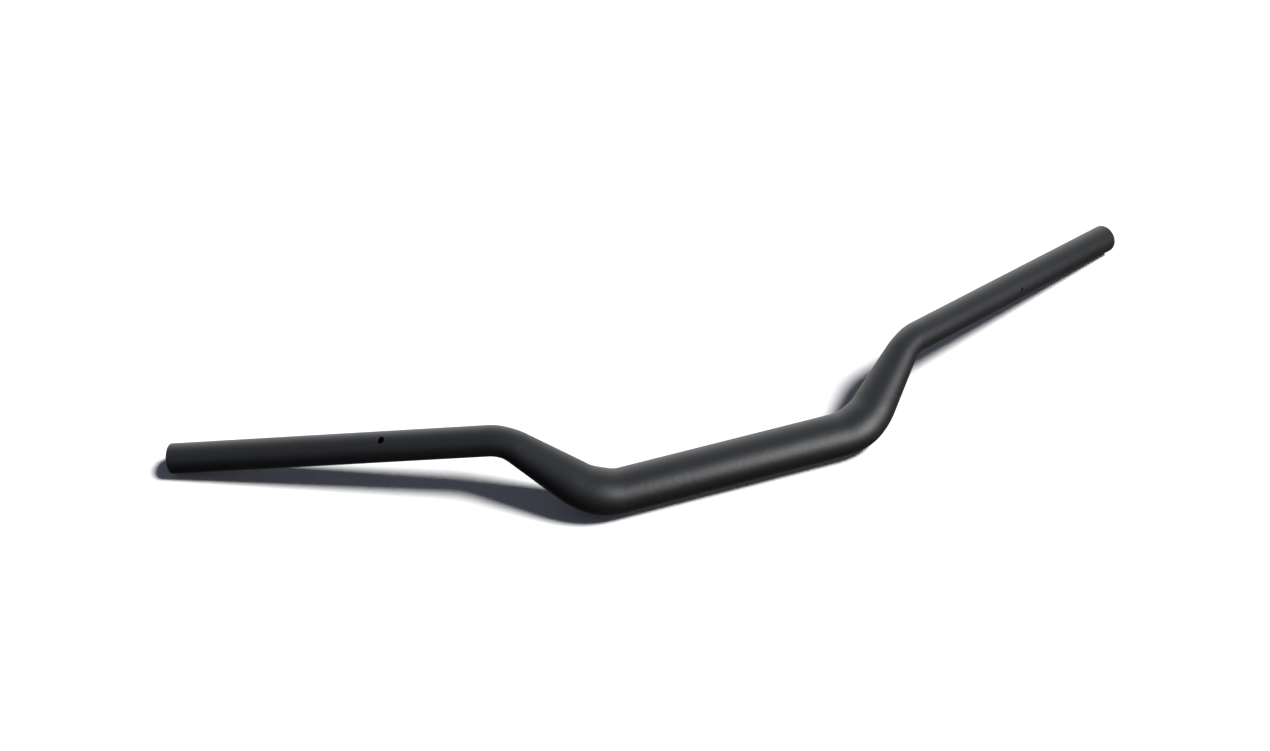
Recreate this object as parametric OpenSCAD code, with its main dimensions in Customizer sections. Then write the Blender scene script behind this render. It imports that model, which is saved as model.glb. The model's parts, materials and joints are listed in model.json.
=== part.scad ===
// Motorcycle handlebar: one butted aluminium tube, tapered from a fat clamp
// section to slim grip ends and bent four times. Nothing is welded to it.
//
// It lies as it rests on a flat floor: on the clamp section and on both tips.
// +X runs along the clamp section to the rider's left, +Y towards the rider,
// +Z up. The origin is the middle of the clamp section, on its axis.
// The bar is written as a tube bender makes it: feed, bend, feed, turn, bend, feed.

/* [Clamp section] */
// Outside diameter of the middle, which the risers clamp
clamp_d = 32; // [31:0.1:33]
// Length of the straight middle between the lower bends
clamp_length = 163; // [120:1:200]
// Wall thickness in the middle and round the lower bends
clamp_wall = 4; // [3:0.1:5]

/* [Lower bends and rises] */
// Angle of each lower bend
lower_angle = 45.5; // [40:0.5:50]
// Radius of each lower bend, to the middle of the tube
lower_radius = 45; // [40:1:60]
// Length of the straight, tapered rise between the bends
rise_length = 45.5; // [35:0.5:70]

/* [Upper bends] */
// Turn of the tube about the rise before the upper bend
bend_turn = 145; // [140:0.5:150]
// Angle of each upper bend
upper_angle = 36.5; // [30:0.5:42]
// Radius of each upper bend, to the middle of the tube
upper_radius = 36; // [30:1:60]

/* [Grip ends] */
// Outside diameter of the grip ends
grip_d = 22.2; // [22:0.1:22.3]
// Length of each straight grip end
grip_length = 233.5; // [200:0.5:260]
// Wall thickness of the grip ends
grip_wall = 4.1; // [3:0.1:4.5]
// Chamfer round the outside of each tip
outer_chamfer = 0.4; // [0.3:0.1:1.2]
// Chamfer round the mouth of the bore
bore_chamfer = 0.5; // [0.2:0.1:1]

/* [Locating holes] */
// Hole for the peg of the throttle and switch housing, on the right-hand end
throttle_hole_d = 5.5; // [4:0.1:6.5]
// Distance of that hole from the tip
throttle_hole_from_tip = 159; // [140:1:180]
// Turn of that hole round the grip end, from the outside of the upper bend
throttle_hole_turn = 45; // [0:1:90]
// Hole for the peg of the switch housing, on the left-hand end
switch_hole_d = 3; // [2.5:0.1:5]
// Distance of that hole from the tip
switch_hole_from_tip = 122; // [105:1:150]
// Turn of that hole round the grip end, from the outside of the upper bend
switch_hole_turn = 95; // [60:1:130]

/* [Hidden] */
$fn = 96;

clamp_r = clamp_d / 2;
clamp_bore_r = clamp_r - clamp_wall;
grip_r = grip_d / 2;
grip_bore_r = grip_r - grip_wall;

// A ball joins each bend to the straight length beside it. It is this much fatter
// than the tube, and the straight length stops this far short inside it, so that
// the three overlap and become one solid.
ball_step = 0.04;
joint_gap = 0.25;
// How far a cut runs on past the metal
overshoot = 2;

// Directions along the rise and the grip end, before the bar is laid down
rise_dir = [cos(lower_angle), 0, sin(lower_angle)];
rise_normal = [-sin(lower_angle), 0, cos(lower_angle)];
upper_bend_dir = sin(bend_turn) * [0, 1, 0] + cos(bend_turn) * rise_normal;
grip_dir = cos(upper_angle) * rise_dir + sin(upper_angle) * upper_bend_dir;

// Points on the middle line, before the bar is laid down
rise_start = [clamp_length / 2 + lower_radius * sin(lower_angle), 0,
              lower_radius * (1 - cos(lower_angle))];
rise_end = rise_start + rise_length * rise_dir;
grip_start = rise_end + upper_radius * sin(upper_angle) * rise_dir
           + upper_radius * (1 - cos(upper_angle)) * upper_bend_dir;
tip_edge = grip_start + (grip_length - outer_chamfer) * grip_dir;

// Height of a tip's lowest edge over the clamp section's lowest line, once the
// bar is turned about the clamp axis by lean
function up_at(lean) = [0, sin(lean), cos(lean)];
function tip_height(lean) =
    up_at(lean) * tip_edge - grip_r * sqrt(1 - pow(up_at(lean) * grip_dir, 2)) + clamp_r;

// The turn at which both tips touch the floor, found by halving a bracket
function touching_lean(low, high, halvings) =
    let (middle = (low + high) / 2)
    halvings == 0 ? middle
    : tip_height(middle) > 0 ? touching_lean(low, middle, halvings - 1)
    : touching_lean(middle, high, halvings - 1);
lean = touching_lean(-85, -20, 40);

// A round rod along +X between two joints, tapered from start_r to end_r
module straight_rod(length, start_r, end_r) {
    translate([joint_gap, 0, 0])
        rotate([0, 90, 0])
            cylinder(h = length - 2 * joint_gap, r1 = start_r, r2 = end_r);
}

// A round rod that starts along +X and curls towards +Z, with a ball at each end
module bent_rod(radius, angle, rod_r) {
    translate([0, 0, radius])
        rotate([90, 90, 0])
            rotate_extrude(angle = angle)
                translate([radius, 0])
                    circle(r = rod_r);
    sphere(r = rod_r + ball_step);
    after_bend(radius, angle)
        sphere(r = rod_r + ball_step);
}

// Carries its children to the end of a bend
module after_bend(radius, angle) {
    translate([radius * sin(angle), 0, radius * (1 - cos(angle))])
        rotate([0, -angle, 0])
            children();
}

// Each of these carries its children out along the +X side: to the start of the
// rise, of the upper bend, or of the grip end
module at_rise() {
    translate([clamp_length / 2, 0, 0])
        after_bend(lower_radius, lower_angle)
            children();
}

module at_upper_bend() {
    at_rise()
        translate([rise_length, 0, 0])
            rotate([-bend_turn, 0, 0])
                children();
}

module at_grip_end() {
    at_upper_bend()
        after_bend(upper_radius, upper_angle)
            children();
}

// Two of its children, one at the grip end of each side
module at_both_grip_ends() {
    at_grip_end()
        children(0);
    mirror([1, 0, 0])
        at_grip_end()
            children(1);
}

// The bar's whole route up to the grip ends, as a rod: fat in the middle and slim
// from the upper bends on. The metal and the bore inside it are both such rods.
module route(middle_r, end_r) {
    translate([-clamp_length / 2, 0, 0])
        straight_rod(clamp_length, middle_r, middle_r);
    for (side = [0, 1])
        mirror([side, 0, 0]) {
            translate([clamp_length / 2, 0, 0])
                bent_rod(lower_radius, lower_angle, middle_r);
            at_rise()
                straight_rod(rise_length, middle_r, end_r);
            at_upper_bend()
                bent_rod(upper_radius, upper_angle, end_r);
        }
}

// The outside of a grip end, chamfered round its tip
module grip_end() {
    rotate([0, 90, 0])
        rotate_extrude()
            polygon([
                [0, joint_gap],
                [grip_r, joint_gap],
                [grip_r, grip_length - outer_chamfer],
                [grip_r - outer_chamfer, grip_length],
                [0, grip_length]
            ]);
}

// The bore of a grip end, flared at its mouth
module grip_bore() {
    flare = bore_chamfer + overshoot;
    rotate([0, 90, 0])
        rotate_extrude()
            polygon([
                [0, joint_gap],
                [grip_bore_r, joint_gap],
                [grip_bore_r, grip_length - bore_chamfer],
                [grip_bore_r + flare, grip_length - bore_chamfer + flare],
                [0, grip_length - bore_chamfer + flare]
            ]);
}

// A hole through one wall of a grip end, from the bore out
module locating_hole(hole_d, from_tip, turn) {
    translate([grip_length - from_tip, 0, 0])
        rotate([180 + turn, 0, 0])
            cylinder(h = grip_r + overshoot, d = hole_d);
}

module bar_tube() {
    color([0.086, 0.086, 0.092])
        rotate([lean, 0, 0])
            difference() {
                union() {
                    route(clamp_r, grip_r);
                    at_both_grip_ends() {
                        grip_end();
                        grip_end();
                    }
                }
                route(clamp_bore_r, grip_bore_r);
                at_both_grip_ends() {
                    grip_bore();
                    grip_bore();
                }
                at_both_grip_ends() {
                    locating_hole(switch_hole_d, switch_hole_from_tip, switch_hole_turn);
                    locating_hole(throttle_hole_d, throttle_hole_from_tip, throttle_hole_turn);
                }
            }
}

bar_tube();
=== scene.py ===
"""Motorcycle handlebar: the looks of the tube, in metres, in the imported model's frame.

The tube's outside, bore, locating holes and chamfered tips are one closed mesh, laid along
the same route as the CAD solid, which it replaces."""

import json
import math

import bpy
import numpy as np
from mathutils import Matrix, Vector


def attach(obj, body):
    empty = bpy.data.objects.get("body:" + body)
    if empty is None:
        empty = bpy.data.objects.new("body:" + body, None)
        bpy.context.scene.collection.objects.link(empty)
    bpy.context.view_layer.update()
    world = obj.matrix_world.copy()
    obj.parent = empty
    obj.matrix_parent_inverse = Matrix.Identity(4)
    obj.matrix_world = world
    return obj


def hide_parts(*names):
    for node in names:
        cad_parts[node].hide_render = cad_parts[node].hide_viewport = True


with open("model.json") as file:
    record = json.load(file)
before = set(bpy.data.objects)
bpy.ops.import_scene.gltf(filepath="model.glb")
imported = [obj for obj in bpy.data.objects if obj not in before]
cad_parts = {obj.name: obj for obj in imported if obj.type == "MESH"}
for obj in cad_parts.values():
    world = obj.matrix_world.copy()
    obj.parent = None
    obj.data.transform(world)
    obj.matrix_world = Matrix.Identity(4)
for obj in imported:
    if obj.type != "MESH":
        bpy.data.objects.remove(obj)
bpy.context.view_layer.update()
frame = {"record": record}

MM = 0.001

# --------------------------------------------------------------------------
# Camera and light
# --------------------------------------------------------------------------

# The floor touches the clamp section from below, and reaches this far each way
FLOOR_Z = -16.0 * MM
FLOOR_HALF = 6.0

# The photo's camera, fitted to the bar's outline: its place, where it looks, and the
# direction that is down in its picture. The lens is an assumed one.
LENS_MM = 50.0
SENSOR_MM = 36.0
CLIP_NEAR = 0.01
CLIP_FAR = 50.0
CAMERA_AT = Vector((-0.334849, -0.796413, 0.913984))
CAMERA_FORWARD = Vector((0.225920, 0.684708, -0.692918))
CAMERA_DOWN = Vector((-0.227208, -0.654653, -0.720976))

# What the lamps point at: a point near the bar's middle
AIM = Vector((0.0, 0.06, 0.0))

# Headings are measured from +Y towards +X, and heights up from the horizon. Radiances and
# levels are measured against white, which is 1.
# The key lamp lights the floor only, and throws the bar's shadow on it. Its level is over
# white, so the lit floor clips. It is a sun, so its distance changes nothing.
KEY_HEADING = math.radians(110.0)
KEY_HEIGHT = math.radians(56.0)
KEY_ANGLE = math.radians(16.0)
KEY_LEVEL = 1.2
KEY_DISTANCE = 3.0

# The softbox, in front of the bar on the rider's left, lights the bar
BOX_HEADING = math.radians(143.8)
BOX_HEIGHT = math.radians(23.3)
BOX_DISTANCE = 1.74
BOX_SPREAD = math.radians(21.7)
BOX_RADIANCE = 5.84

# What the bar mirrors besides the softbox: a wall behind it, brighter than white, and a
# ceiling
WALL_HEADING = math.radians(12.6)
WALL_HEIGHT = math.radians(2.5)
WALL_SPREAD = math.radians(44.5)
WALL_RADIANCE = 1.96
CEILING_RADIANCE = 0.285
CEILING_TINT = (0.90, 1.0, 1.15)
# The ceiling's light starts and is full at these heights of a ray's unit direction
CEILING_STARTS = -0.15
CEILING_FULL = 0.55
# Keeps the arc cosine off the ends of its range
ALMOST_ONE = 0.9999

# What rays that a surface scattered see: this faint light all round, and a floor of this
# colour. So the sides of the bar that face away from the softbox are almost unlit.
AMBIENT = (0.055, 0.061, 0.080)
DIM_FLOOR = 0.02


def direction(heading, height):
    return Vector((math.cos(height) * math.sin(heading),
                   math.cos(height) * math.cos(heading), math.sin(height)))


def link_object(name, data):
    thing = bpy.data.objects.new(name, data)
    bpy.context.scene.collection.objects.link(thing)
    return thing


def add_camera():
    camera = bpy.data.cameras.new("main_camera")
    camera.lens = LENS_MM
    camera.sensor_width = SENSOR_MM
    camera.clip_start = CLIP_NEAR
    camera.clip_end = CLIP_FAR
    holder = link_object("main_camera", camera)
    back = -CAMERA_FORWARD.normalized()
    up = (-CAMERA_DOWN).normalized()
    right = up.cross(back).normalized()
    up = back.cross(right)
    turn = Matrix((right, up, back)).transposed()
    holder.matrix_world = Matrix.Translation(CAMERA_AT) @ turn.to_4x4()
    bpy.context.scene.camera = holder


add_camera()

# --------------------------------------------------------------------------
# The bar's route, as a tube bender makes it, in millimetres
# --------------------------------------------------------------------------

CLAMP_HALF = 81.5
LOWER_RADIUS = 45.0
LOWER_ANGLE = math.radians(45.5)
RISE = 45.5
BEND_TURN = math.radians(145.0)
UPPER_RADIUS = 36.0
UPPER_ANGLE = math.radians(36.5)
GRIP = 233.5
# The turn about the clamp section at which both tips touch the floor, from part.scad
LEAN = math.radians(-55.133210)

CLAMP_R = 16.0
GRIP_R = 11.1
CLAMP_BORE_R = 12.0
GRIP_BORE_R = 7.0
# The tube swells a little in the middle of each lower bend
SWELL = 0.9
# Where the taper ends, along the middle line, and how softly it starts and ends
TAPER_END = 171.3
TAPER_SOFTNESS = 4.0
OUTER_CHAMFER = 0.4
BORE_CHAMFER = 0.5

LOWER_START = CLAMP_HALF
LOWER_END = LOWER_START + LOWER_RADIUS * LOWER_ANGLE
RISE_END = LOWER_END + RISE
UPPER_END = RISE_END + UPPER_RADIUS * UPPER_ANGLE
TIP = UPPER_END + GRIP


def turned(axis, angle):
    """A rotation matrix about x, y or z."""
    return np.array(Matrix.Rotation(angle, 3, axis))


LAID = turned("X", LEAN)


def place_on_line(distance):
    """The middle line's point and frame at this distance from the bar's middle: the frame's
    columns are the direction along the line and two directions across it, which never spin
    about the line."""
    left = abs(distance)
    point = np.zeros(3)
    axes = np.eye(3)
    spin = 0.0

    def feed(length):
        nonlocal point
        point = point + axes[:, 0] * length

    def bend(radius, angle):
        nonlocal point, axes
        point = (point + axes[:, 0] * radius * math.sin(angle)
                 + axes[:, 2] * radius * (1 - math.cos(angle)))
        axes = axes @ turned("Y", -angle)

    feed(min(left, CLAMP_HALF))
    if left > LOWER_START:
        bend(LOWER_RADIUS, min(left - LOWER_START, LOWER_END - LOWER_START) / LOWER_RADIUS)
    if left > LOWER_END:
        feed(min(left - LOWER_END, RISE))
    if left > RISE_END:
        axes = axes @ turned("X", -BEND_TURN)
        spin = BEND_TURN
        bend(UPPER_RADIUS, min(left - RISE_END, UPPER_END - RISE_END) / UPPER_RADIUS)
    if left > UPPER_END:
        feed(left - UPPER_END)
    axes = axes @ turned("X", spin)
    point = LAID @ point
    axes = LAID @ axes
    if distance < 0:
        # mirrored, and turned round so that it still runs towards +X
        point = point * np.array([-1.0, 1.0, 1.0])
        axes = axes * np.array([[-1.0], [1.0], [1.0]])
        axes[:, 0] *= -1.0
    return point, axes


def soft_ramp(x, softness):
    """0 below 0 and x above it, rounded over this width on each side."""
    if x <= -softness:
        return 0.0
    if x >= softness:
        return x
    return (x + softness) ** 2 / (4 * softness)


def outer_radius(distance):
    along = abs(distance)
    slope = (CLAMP_R - GRIP_R) / (TAPER_END - LOWER_END)
    radius = CLAMP_R - slope * (soft_ramp(along - LOWER_END, TAPER_SOFTNESS)
                                - soft_ramp(along - TAPER_END, TAPER_SOFTNESS))
    if LOWER_START < along < LOWER_END:
        share = (along - LOWER_START) / (LOWER_END - LOWER_START)
        radius += SWELL * math.sin(math.pi * share) ** 2
    return radius


def bore_radius(distance):
    share = (abs(distance) - LOWER_END) / (TAPER_END - LOWER_END)
    return CLAMP_BORE_R + (GRIP_BORE_R - CLAMP_BORE_R) * min(max(share, 0.0), 1.0)


# --------------------------------------------------------------------------
# Mesh code
# --------------------------------------------------------------------------

# Points round the outside, and round the bore
OUTER_COUNT = 128
BORE_COUNT = 64

# How far wear reaches back from a tip's edge, and down the wall of a drilled hole
WEAR_REACH = 2.2
WEAR_DEPTH = 0.5

# How far apart rings stand at most, on straight lengths and in the bends, outside and in
# the bore. On the rise it is this many times the step in a bend.
OUTER_STEPS = (3.0, 1.2)
BORE_STEPS = (6.0, 2.4)
RISE_STEP_FACTOR = 1.5
# The same from a hole's patch to the worn stretch before the tip, and along that stretch
LAST_STEP = 3.0
WORN_STEP = 0.8
# Stops rounding from adding a step that isn't needed
ROUNDING_SLACK = 1e-9


class Skin:
    """One mesh, gathered piece by piece. Each point also keeps where it would be if the tube
    were straight, how close it is to a worn edge, whether it is inside the bore, and whether
    it is on the wall of a drilled hole."""

    def __init__(self):
        self.points = []
        self.straight = []
        self.wear = []
        self.inside = []
        self.drilled = []
        self.faces = []

    def add_point(self, xyz, straight=(0.0, 0.0, 0.0), wear=0.0, inside=0.0, drilled=0.0):
        self.points.append(xyz)
        self.straight.append(straight)
        self.wear.append(wear)
        self.inside.append(inside)
        self.drilled.append(drilled)
        return len(self.points) - 1

    def add_ring(self, distance, radius, count, start_angle, wear, inside):
        """A circle of points round the middle line. Returns their indices."""
        point, axes = place_on_line(distance)
        ring = []
        for i in range(count):
            angle = start_angle + i * 2 * math.pi / count
            across = radius * math.cos(angle)
            over = radius * math.sin(angle)
            ring.append(self.add_point(point + across * axes[:, 1] + over * axes[:, 2],
                                       (distance, across, over), wear, inside))
        return ring

    def band(self, loop_a, loop_b, outward, skip=()):
        """Faces between two closed loops of as many points."""
        for i in range(len(loop_a)):
            if i in skip:
                continue
            j = (i + 1) % len(loop_a)
            face = (loop_a[i], loop_a[j], loop_b[j], loop_b[i])
            self.faces.append(face if outward else face[::-1])

    def drop_unused(self):
        """Forgets the points that no face uses: those of rings that cross a hole's patch."""
        used = sorted({index for face in self.faces for index in face})
        place = {index: i for i, index in enumerate(used)}
        self.faces = [tuple(place[index] for index in face) for face in self.faces]
        for name in ("points", "straight", "wear", "inside", "drilled"):
            values = getattr(self, name)
            setattr(self, name, [values[index] for index in used])


def stations(start, end, step):
    """Evenly spaced distances from start to end, no further apart than step."""
    count = max(1, math.ceil((end - start) / step - ROUNDING_SLACK))
    return [start + (end - start) * i / count for i in range(count + 1)]


mounts = {mount["name"]: mount for mount in frame["record"]["mounts"]}


class Hole:
    """A locating hole: how far along the middle line it is, which way it faces round the
    tube, and how many grid cells its square patch reaches from its middle."""

    def __init__(self, name, cells):
        mount = mounts[name]
        at = np.array(mount["pos_m"]) / MM
        outward = np.array(mount["axis"])
        side = 1.0 if at[0] > 0 else -1.0
        tip, axes = place_on_line(side * TIP)
        foot = at - outward * (outward @ (at - tip))
        self.distance = side * TIP + (foot - tip) @ axes[:, 0]
        self.angle = math.atan2(outward @ axes[:, 2], outward @ axes[:, 1])
        self.radius = mount["dims"]["r_mm"]
        self.cells = cells
        self.point, self.axes = place_on_line(self.distance)
        self.up = math.cos(self.angle) * self.axes[:, 1] + math.sin(self.angle) * self.axes[:, 2]
        self.across = np.cross(self.axes[:, 0], self.up)

    def patch_steps(self):
        """The patch's outer edge as (ring, segment) steps from its middle, once round."""
        n = self.cells
        steps = [(n, k) for k in range(-n, n)]
        steps += [(k, n) for k in range(n, -n, -1)]
        steps += [(-n, k) for k in range(n, -n, -1)]
        steps += [(k, -n) for k in range(-n, n)]
        return steps

    def on_tube(self, radius, along, angle):
        """A point of a round surface about the tube's middle line, and its straight place."""
        turn = self.angle + angle
        across = radius * math.cos(turn)
        over = radius * math.sin(turn)
        point = (self.point + self.axes[:, 0] * along
                 + across * self.axes[:, 1] + over * self.axes[:, 2])
        return point, (self.distance + along, across, over)

    def on_wall(self, radius, turn, height):
        """A point of a circle about the hole's own axis, and its straight place."""
        along = radius * math.cos(turn)
        aside = radius * math.sin(turn)
        point = self.point + self.axes[:, 0] * along + self.across * aside + self.up * height
        return point, (self.distance + along, aside, height)


LEFT_HOLE = Hole("left_switch_hole", cells=4)
RIGHT_HOLE = Hole("right_throttle_hole", cells=6)

# The hole's edge on the outside is widened by this much, and the wall's first points round
# it off: each is (step out from the wall, depth below the surface)
HOLE_RIM = 0.12
HOLE_WALL = ((0.06, 0.03), (0.02, 0.09), (0.0, 0.16), (0.0, 1.5), (0.0, 3.2))
# A patch has this many layers of faces, which crowd towards the hole by this power, and
# reaches at least this many of the hole's radii along the tube
PATCH_LAYERS = 5
PATCH_CROWDING = 1.3
PATCH_REACH = 1.6
# The tube's own rings end this far before a tip's chamfer, which tip_profile softens
TIP_BEVEL = 0.25


class Surface:
    """The tube's outside or its bore: rings from the tip at -X to the tip at +X, with a
    square patch round each hole that turns from the grid's square to the hole's edge."""

    def __init__(self, skin, outside):
        self.skin = skin
        self.outside = outside
        self.count = OUTER_COUNT if outside else BORE_COUNT
        self.radius_at = outer_radius if outside else bore_radius
        self.grip_radius = GRIP_R if outside else GRIP_BORE_R
        self.chamfer = OUTER_CHAMFER if outside else BORE_CHAMFER
        self.segment = 2 * math.pi / self.count
        right_marks, right_patch = self.side_marks(RIGHT_HOLE)
        left_marks, left_patch = self.side_marks(LEFT_HOLE)
        self.marks = [-mark for mark in right_marks[::-1]] + left_marks[1:]
        zero = len(right_marks) - 1

        # Each side's rings start level with its hole. The difference is spread over the
        # clamp section as a slight twist, less than one segment in all.
        steps_apart = (LEFT_HOLE.angle - RIGHT_HOLE.angle) / self.segment
        self.twist = self.segment * (steps_apart - round(steps_apart))
        self.rings = [
            skin.add_ring(mark, self.radius_at(mark), self.count, self.start_angle(mark),
                          self.wear_at(mark), self.inside)
            for mark in self.marks]
        places = ((RIGHT_HOLE, zero - right_patch, 0),
                  (LEFT_HOLE, zero + left_patch, round(steps_apart)))
        for i in range(len(self.rings) - 1):
            skip = set()
            for hole, middle, shift in places:
                if middle - hole.cells <= i < middle + hole.cells:
                    skip = {(shift + k) % self.count for k in range(-hole.cells, hole.cells)}
            skin.band(self.rings[i], self.rings[i + 1], outside, skip)
        self.hole_edges = {hole: self.fill_patch(hole, middle, shift)
                           for hole, middle, shift in places}

    @property
    def inside(self):
        return 0.0 if self.outside else 1.0

    def wear_at(self, distance):
        return max(0.0, 1.0 - (TIP - self.chamfer - abs(distance)) / WEAR_REACH)

    def start_angle(self, distance):
        share = min(max((distance + CLAMP_HALF) / (2 * CLAMP_HALF), 0.0), 1.0)
        return RIGHT_HOLE.angle + self.twist * share

    def side_marks(self, hole):
        """Distances for one side, from the bar's middle to where the tip's chamfer starts,
        and the place in that list of the hole's middle. Round the hole they stand evenly."""
        straight_step, bend_step = OUTER_STEPS if self.outside else BORE_STEPS
        hole_at = abs(hole.distance)
        reach = max(hole.cells * self.segment * self.grip_radius, PATCH_REACH * hole.radius)
        marks = stations(0.0, LOWER_START, straight_step)
        marks += stations(LOWER_START, LOWER_END, bend_step)[1:]
        marks += stations(LOWER_END, RISE_END, RISE_STEP_FACTOR * bend_step)[1:]
        marks += stations(RISE_END, UPPER_END, bend_step)[1:]
        marks += stations(UPPER_END, hole_at - reach, straight_step)[1:]
        middle = len(marks) - 1 + hole.cells
        marks += [hole_at - reach + reach * (i + 1) / hole.cells for i in range(2 * hole.cells)]
        chamfer_start = TIP - self.chamfer - TIP_BEVEL
        marks += stations(marks[-1], chamfer_start - WEAR_REACH, LAST_STEP)[1:]
        marks += stations(chamfer_start - WEAR_REACH, chamfer_start, WORN_STEP)[1:]
        return marks, middle

    def fill_patch(self, hole, middle, shift):
        """Fills the patch round a hole. Returns the points of the hole's edge, and each
        one's turn about the hole's axis."""
        skin = self.skin
        spacing = abs(self.marks[middle + 1] - self.marks[middle])
        steps = hole.patch_steps()
        square = [(ring * spacing, segment * self.segment) for ring, segment in steps]
        turns = [math.atan2(angle * self.grip_radius, along) for along, angle in square]
        edge_radius = hole.radius + (HOLE_RIM if self.outside else 0.0)
        circle = [(edge_radius * math.cos(turn),
                   math.asin(edge_radius * math.sin(turn) / self.grip_radius))
                  for turn in turns]
        loop = [self.rings[middle + ring][(shift + segment) % self.count]
                for ring, segment in steps]
        for layer in range(1, PATCH_LAYERS + 1):
            share = 1 - (1 - layer / PATCH_LAYERS) ** PATCH_CROWDING
            inner = []
            for (along_0, angle_0), (along_1, angle_1) in zip(square, circle):
                point, straight = hole.on_tube(self.grip_radius,
                                               along_0 + (along_1 - along_0) * share,
                                               angle_0 + (angle_1 - angle_0) * share)
                inner.append(skin.add_point(point, straight, share, self.inside))
            skin.band(loop, inner, not self.outside)
            loop = inner
        return loop, turns


def tip_profile(chamfer):
    """(distance back from the tip, step in radius) of each ring across a tip's chamfer. The
    corners where it starts and ends are softened by about a tenth of a millimetre."""
    return ((chamfer + 0.12, 0.0), (chamfer + 0.03, 0.02), (chamfer - 0.06, 0.09),
            (0.12, chamfer - 0.09), (0.04, chamfer - 0.01), (0.0, chamfer + 0.10))


def close_tip(skin, end, surfaces):
    """The chamfers and the flat face of one tip."""
    loops = []
    for surface in surfaces:
        loop = surface.rings[-1 if end > 0 else 0]
        start = surface.start_angle(end * TIP)
        way = -1.0 if surface.outside else 1.0
        for back, step in tip_profile(surface.chamfer):
            ring = skin.add_ring(end * (TIP - back), surface.grip_radius + way * step,
                                 surface.count, start, 1.0, surface.inside)
            skin.band(loop, ring, surface.outside == (end > 0))
            loop = ring
        loops.append(loop)
    outer, bore = loops
    centre = place_on_line(end * TIP)[0]

    def towards(index):
        arm = skin.points[index] - centre
        return arm / np.linalg.norm(arm)

    # the outer ring has twice the bore's points, and starts at the one over the bore's first
    first = max(range(len(outer)), key=lambda i: towards(outer[i]) @ towards(bore[0]))
    for i in range(len(bore)):
        a, b, c = (outer[(first + 2 * i + k) % len(outer)] for k in range(3))
        near = bore[i]
        far = bore[(i + 1) % len(bore)]
        for face in ((near, a, b), (near, b, c, far)):
            skin.faces.append(face if end > 0 else face[::-1])


def build_bar():
    skin = Skin()
    outside = Surface(skin, True)
    bore = Surface(skin, False)
    for hole in (RIGHT_HOLE, LEFT_HOLE):
        loop, turns = outside.hole_edges[hole]
        for step, depth in HOLE_WALL:
            radius = hole.radius + step
            inner = []
            for turn in turns:
                surface_height = math.sqrt(GRIP_R ** 2 - (radius * math.sin(turn)) ** 2)
                point, straight = hole.on_wall(radius, turn, surface_height - depth)
                inner.append(skin.add_point(point, straight, 1.0 if depth < WEAR_DEPTH else 0.0,
                                            drilled=1.0))
            skin.band(loop, inner, False)
            loop = inner
        skin.band(loop, bore.hole_edges[hole][0], False)
    for end in (-1, 1):
        close_tip(skin, end, (outside, bore))
    skin.drop_unused()
    return skin


def mesh_object(name, skin, material):
    mesh = bpy.data.meshes.new(name)
    mesh.from_pydata([tuple(point * MM) for point in skin.points], [], skin.faces)
    mesh.validate()
    mesh.update()
    for polygon in mesh.polygons:
        polygon.use_smooth = True
    straight = mesh.attributes.new("straight", "FLOAT_VECTOR", "POINT")
    straight.data.foreach_set("vector", (np.array(skin.straight) * MM).ravel())
    for attribute, values in (("wear", skin.wear), ("inside", skin.inside),
                              ("drilled", skin.drilled)):
        mesh.attributes.new(attribute, "FLOAT", "POINT").data.foreach_set("value", values)
    mesh.materials.append(material)
    return link_object(name, mesh)


# --------------------------------------------------------------------------
# Materials
# --------------------------------------------------------------------------

# A mix node has sockets of the same names for each type of value. These are the places of
# the two colours among its inputs, and of the mixed colour among its outputs.
MIX_FIRST = 6
MIX_SECOND = 7
MIX_RESULT = 2


class Nodes:
    """A material's or world's node tree, filled by short calls."""

    def __init__(self, holder):
        holder.use_nodes = True
        self.tree = holder.node_tree
        self.tree.nodes.clear()

    def add(self, kind, **settings):
        node = self.tree.nodes.new(kind)
        for name, value in settings.items():
            setattr(node, name, value)
        return node

    def put(self, socket, value):
        """Sets an input to a constant, or links it to another node's output."""
        if isinstance(value, bpy.types.NodeSocket):
            self.tree.links.new(value, socket)
        else:
            socket.default_value = value

    def math(self, operation, *values):
        node = self.add("ShaderNodeMath", operation=operation)
        for socket, value in zip(node.inputs, values):
            self.put(socket, value)
        return node.outputs[0]

    def noise(self, place, scale, detail, roughness):
        node = self.add("ShaderNodeTexNoise", noise_dimensions="3D")
        self.put(node.inputs["Vector"], place)
        self.put(node.inputs["Scale"], scale)
        self.put(node.inputs["Detail"], detail)
        self.put(node.inputs["Roughness"], roughness)
        return node.outputs["Fac"]

    def remap(self, value, low, high, to_low, to_high):
        """Carries low..high to to_low..to_high, and stops at both ends."""
        node = self.add("ShaderNodeMapRange", clamp=True)
        for name, setting in (("Value", value), ("From Min", low), ("From Max", high),
                              ("To Min", to_low), ("To Max", to_high)):
            self.put(node.inputs[name], setting)
        return node.outputs["Result"]

    def stretch(self, place, scale):
        node = self.add("ShaderNodeVectorMath", operation="MULTIPLY")
        self.put(node.inputs[0], place)
        self.put(node.inputs[1], scale)
        return node.outputs["Vector"]

    def mix(self, share, first, second):
        node = self.add("ShaderNodeMix", data_type="RGBA")
        self.put(node.inputs["Factor"], share)
        self.put(node.inputs[MIX_FIRST], first)
        self.put(node.inputs[MIX_SECOND], second)
        return node.outputs[MIX_RESULT]


# Colours of the dyed skin, of its worn edges, of the bare bore that the dye hardly reached,
# and of the walls of the drilled holes
BLACK_DEEP = (0.0052, 0.0054, 0.0062, 1)
BLACK_PALE = (0.0105, 0.0105, 0.0114, 1)
WORN_EDGE = (0.060, 0.060, 0.062, 1)
BORE_GREY = (0.26, 0.26, 0.265, 1)
DRILLED_GREY = (0.070, 0.070, 0.073, 1)

SATIN_IOR = 1.7

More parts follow.
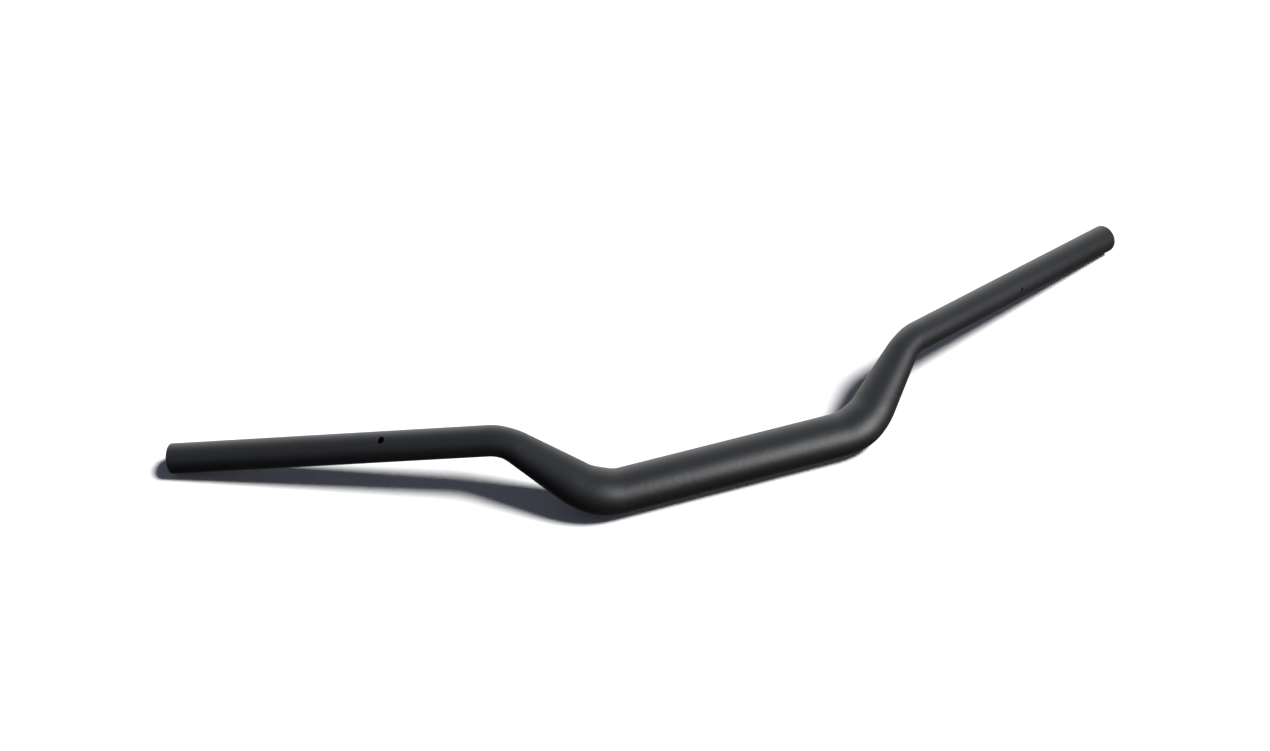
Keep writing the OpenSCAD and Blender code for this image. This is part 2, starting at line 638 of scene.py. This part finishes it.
# Each pattern's noise: its scale, in cells to the metre, its detail and its roughness
CLOUDS = (60.0, 3.0, 0.55)
DRAW_GRAIN = (1400.0, 2.0, 0.5)
GRAIN = (3600.0, 2.0, 0.6)
PATCHES = (260.0, 2.0, 0.5)
RUBS = (900.0, 4.0, 0.65)
SPECKS = (2400.0, 4.0, 0.7)
# What is left of the scale along the tube, for the patterns that are drawn out that way
CLOUD_STRETCH = (0.35, 1.0, 1.0)
DRAW_STRETCH = (0.02, 1.0, 1.0)
RUB_STRETCH = (0.10, 1.0, 1.0)

# The noise levels between which each effect comes in. Rubs show only where the clouds allow.
RUB_LEVELS = (0.66, 0.74)
RUB_CLOUD_LEVELS = (0.50, 0.62)
WORN_LEVELS = (0.94, 1.10)
TONE_LEVELS = (0.32, 0.68)
DRILLED_LEVELS = (0.3, 0.6)
ROUGH_LEVELS = (0.3, 0.7)

# How much wear and specks count towards bare metal
WEAR_WEIGHT = 0.62
SPECK_WEIGHT = 0.75
# What each pattern adds to the skin's tone
CLOUD_TONE = 0.45
GRAIN_TONE = 0.2
PATCH_TONE = 0.35
# How little of a drilled wall's own grey shows where its specks are thinnest
DRILLED_LEAST = 0.7

# The roughness that all the skin has, what clouds, patches and the bore add to it, and what
# rubs and worn edges take off
BASE_ROUGHNESS = 0.438
CLOUD_ROUGHNESS = 0.04
PATCH_ROUGHNESS = 0.03
BORE_ROUGHNESS = 0.12
RUB_POLISH = 0.06
WORN_POLISH = 0.08

# The relief: how deep the waves and the fine relief are, how strongly each shows, and the
# heights of the patterns that make up the fine one
WAVE_DEPTH = 0.11 * MM
WAVE_STRENGTH = 1.0
FINE_DEPTH = 0.03 * MM
FINE_STRENGTH = 0.22
GRAIN_HEIGHT = 0.6
DRAW_HEIGHT = 0.15
RUB_HEIGHT = 0.15


def satin_black():
    """Satin black anodising over a bead-blasted tube. All its patterns lie on the tube as
    if it were straight, so that they follow every bend."""
    material = bpy.data.materials.new("satin_black")
    nodes = Nodes(material)
    place = nodes.add("ShaderNodeAttribute", attribute_name="straight").outputs["Vector"]
    wear = nodes.add("ShaderNodeAttribute", attribute_name="wear").outputs["Fac"]
    inside = nodes.add("ShaderNodeAttribute", attribute_name="inside").outputs["Fac"]
    drilled = nodes.add("ShaderNodeAttribute", attribute_name="drilled").outputs["Fac"]

    # how the dye took: clouds a few centimetres long, and a faint draw grain along the tube
    clouds = nodes.noise(nodes.stretch(place, CLOUD_STRETCH), *CLOUDS)
    draw_grain = nodes.noise(nodes.stretch(place, DRAW_STRETCH), *DRAW_GRAIN)
    # the blasted surface: grains of a quarter of a millimetre, in patches of more and less
    grain = nodes.noise(place, *GRAIN)
    patches = nodes.noise(place, *PATCHES)
    # marks from handling: fine, short and nearly along the tube
    rubs = nodes.noise(nodes.stretch(place, RUB_STRETCH), *RUBS)
    rubs = nodes.remap(rubs, *RUB_LEVELS, 0.0, 1.0)
    rubs = nodes.math("MULTIPLY", rubs, nodes.remap(clouds, *RUB_CLOUD_LEVELS, 0.0, 1.0))

    # edges lose the dye in specks, where the blasting left them high
    specks = nodes.noise(place, *SPECKS)
    worn = nodes.math("ADD", nodes.math("MULTIPLY", wear, WEAR_WEIGHT),
                      nodes.math("MULTIPLY", specks, SPECK_WEIGHT))
    worn = nodes.remap(worn, *WORN_LEVELS, 0.0, 1.0)

    tone = nodes.math("ADD", nodes.math("MULTIPLY", clouds, CLOUD_TONE),
                      nodes.math("MULTIPLY", grain, GRAIN_TONE))
    tone = nodes.math("ADD", tone, nodes.math("MULTIPLY", patches, PATCH_TONE))
    colour = nodes.mix(nodes.remap(tone, *TONE_LEVELS, 0.0, 1.0), BLACK_DEEP, BLACK_PALE)
    colour = nodes.mix(inside, colour, BORE_GREY)
    bare_wall = nodes.math("MULTIPLY", drilled,
                           nodes.remap(specks, *DRILLED_LEVELS, DRILLED_LEAST, 1.0))
    colour = nodes.mix(bare_wall, colour, DRILLED_GREY)
    colour = nodes.mix(worn, colour, WORN_EDGE)

    rough = nodes.math("ADD", BASE_ROUGHNESS,
                       nodes.remap(clouds, *ROUGH_LEVELS, 0.0, CLOUD_ROUGHNESS))
    rough = nodes.math("ADD", rough,
                       nodes.remap(patches, *ROUGH_LEVELS, 0.0, PATCH_ROUGHNESS))
    rough = nodes.math("SUBTRACT", rough, nodes.math("MULTIPLY", rubs, RUB_POLISH))
    rough = nodes.math("SUBTRACT", rough, nodes.math("MULTIPLY", worn, WORN_POLISH))
    rough = nodes.math("ADD", rough, nodes.math("MULTIPLY", inside, BORE_ROUGHNESS))

    # the skin's faint waves, a few millimetres long, under the finer relief
    waves = nodes.add("ShaderNodeBump")
    nodes.put(waves.inputs["Height"], patches)
    nodes.put(waves.inputs["Strength"], WAVE_STRENGTH)
    nodes.put(waves.inputs["Distance"], WAVE_DEPTH)
    height = nodes.math("ADD", nodes.math("MULTIPLY", grain, GRAIN_HEIGHT),
                        nodes.math("MULTIPLY", draw_grain, DRAW_HEIGHT))
    height = nodes.math("SUBTRACT", height, nodes.math("MULTIPLY", rubs, RUB_HEIGHT))
    bump = nodes.add("ShaderNodeBump")
    nodes.put(bump.inputs["Height"], height)
    nodes.put(bump.inputs["Strength"], FINE_STRENGTH)
    nodes.put(bump.inputs["Distance"], FINE_DEPTH)
    nodes.put(bump.inputs["Normal"], waves.outputs["Normal"])

    shader = nodes.add("ShaderNodeBsdfPrincipled")
    nodes.put(shader.inputs["Base Color"], colour)
    nodes.put(shader.inputs["Roughness"], rough)
    nodes.put(shader.inputs["Normal"], bump.outputs["Normal"])
    nodes.put(shader.inputs["IOR"], SATIN_IOR)
    output = nodes.add("ShaderNodeOutputMaterial")
    nodes.put(output.inputs["Surface"], shader.outputs["BSDF"])
    return material


bar = mesh_object("handlebar_tube", build_bar(), satin_black())
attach(bar, "root")
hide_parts("bar_tube")

# --------------------------------------------------------------------------
# Floor, lamps and world
# --------------------------------------------------------------------------

def mirror_ray(nodes):
    """1 for a ray that a glossy or clear surface sent, else 0."""
    path = nodes.add("ShaderNodeLightPath")
    return nodes.math("MAXIMUM", path.outputs["Is Glossy Ray"],
                      path.outputs["Is Transmission Ray"])


def white_floor():
    """White to the camera, with the bar's shadow, and nearly black to rays that the bar
    scatters. Mirrored rays don't see it: they pass through to the world, whose wall fades
    out below the horizon."""
    material = bpy.data.materials.new("white_floor")
    nodes = Nodes(material)
    path = nodes.add("ShaderNodeLightPath")
    white = nodes.add("ShaderNodeBsdfDiffuse")
    nodes.put(white.inputs["Color"], (1, 1, 1, 1))
    dim = nodes.add("ShaderNodeBsdfDiffuse")
    nodes.put(dim.inputs["Color"], (DIM_FLOOR, DIM_FLOOR, DIM_FLOOR, 1))
    through = nodes.add("ShaderNodeBsdfTransparent")
    seen = nodes.add("ShaderNodeMixShader")
    nodes.put(seen.inputs["Fac"], path.outputs["Is Camera Ray"])
    nodes.put(seen.inputs[1], dim.outputs[0])
    nodes.put(seen.inputs[2], white.outputs[0])
    mirrored = nodes.add("ShaderNodeMixShader")
    nodes.put(mirrored.inputs["Fac"], mirror_ray(nodes))
    nodes.put(mirrored.inputs[1], seen.outputs[0])
    nodes.put(mirrored.inputs[2], through.outputs[0])
    output = nodes.add("ShaderNodeOutputMaterial")
    nodes.put(output.inputs["Surface"], mirrored.outputs[0])
    return material


def add_floor():
    skin = Skin()
    half = FLOOR_HALF / MM
    skin.faces.append(tuple(skin.add_point(np.array([x, y, FLOOR_Z / MM]))
                            for x, y in ((-half, -half), (half, -half),
                                         (half, half), (-half, half))))
    floor = mesh_object("floor", skin, white_floor())
    return floor


def add_lamp(name, kind, heading, height, distance, lit):
    """A lamp that shines at AIM from this side, on one object only."""
    light = bpy.data.lights.new(name, kind)
    holder = link_object(name, light)
    towards = direction(heading, height)
    holder.matrix_world = (Matrix.Translation(AIM + towards * distance)
                           @ towards.to_track_quat("Z", "Y").to_matrix().to_4x4())
    holder.visible_camera = False
    lights_only = bpy.data.collections.new(name + "_lights")
    lights_only.objects.link(lit)
    holder.light_linking.receiver_collection = lights_only
    return light


def add_lamps(floor):
    key = add_lamp("key", "SUN", KEY_HEADING, KEY_HEIGHT, KEY_DISTANCE, floor)
    key.energy = KEY_LEVEL * math.pi / math.sin(KEY_HEIGHT)
    key.angle = KEY_ANGLE
    softbox = add_lamp("softbox", "AREA", BOX_HEADING, BOX_HEIGHT, BOX_DISTANCE, bar)
    softbox.shape = "DISK"
    softbox.size = 2 * BOX_DISTANCE * math.tan(BOX_SPREAD)
    softbox.energy = BOX_RADIANCE * math.pi * math.pi * (softbox.size / 2) ** 2


def add_world():
    """White to the camera only. Mirrored rays see a bright wall behind the bar, which fades
    out to the sides and downwards, and a dim ceiling. Scattered rays see a faint fill."""
    world = bpy.data.worlds.new("studio")
    bpy.context.scene.world = world
    nodes = Nodes(world)
    towards = nodes.add("ShaderNodeTexCoord").outputs["Generated"]

    facing = nodes.add("ShaderNodeVectorMath", operation="DOT_PRODUCT")
    nodes.put(facing.inputs[0], towards)
    nodes.put(facing.inputs[1], direction(WALL_HEADING, WALL_HEIGHT))
    facing = nodes.math("MINIMUM", facing.outputs["Value"], ALMOST_ONE)
    away = nodes.math("ARCCOSINE", nodes.math("MAXIMUM", facing, -ALMOST_ONE))
    away = nodes.math("DIVIDE", away, WALL_SPREAD)
    falloff = nodes.math("EXPONENT", nodes.math("MULTIPLY", nodes.math("MULTIPLY", away, away),
                                                -1.0))
    wall = nodes.add("ShaderNodeBackground")
    nodes.put(wall.inputs["Strength"], nodes.math("MULTIPLY", falloff, WALL_RADIANCE))

    parts = nodes.add("ShaderNodeSeparateXYZ")
    nodes.put(parts.inputs[0], towards)
    ceiling = nodes.add("ShaderNodeBackground")
    nodes.put(ceiling.inputs["Color"], (*CEILING_TINT, 1))
    nodes.put(ceiling.inputs["Strength"],
              nodes.remap(parts.outputs["Z"], CEILING_STARTS, CEILING_FULL,
                          0.0, CEILING_RADIANCE))
    room = nodes.add("ShaderNodeAddShader")
    nodes.put(room.inputs[0], wall.outputs[0])
    nodes.put(room.inputs[1], ceiling.outputs[0])

    fill = nodes.add("ShaderNodeBackground")
    nodes.put(fill.inputs["Color"], (*AMBIENT, 1))
    white = nodes.add("ShaderNodeBackground")
    nodes.put(white.inputs["Color"], (1, 1, 1, 1))
    unseen = nodes.add("ShaderNodeMixShader")
    nodes.put(unseen.inputs["Fac"], mirror_ray(nodes))
    nodes.put(unseen.inputs[1], fill.outputs[0])
    nodes.put(unseen.inputs[2], room.outputs[0])
    seen = nodes.add("ShaderNodeMixShader")
    nodes.put(seen.inputs["Fac"], nodes.add("ShaderNodeLightPath").outputs["Is Camera Ray"])
    nodes.put(seen.inputs[1], unseen.outputs[0])
    nodes.put(seen.inputs[2], white.outputs[0])
    output = nodes.add("ShaderNodeOutputWorld")
    nodes.put(output.inputs["Surface"], seen.outputs[0])


add_lamps(add_floor())
add_world()
bpy.context.scene.view_settings.view_transform = "Standard"
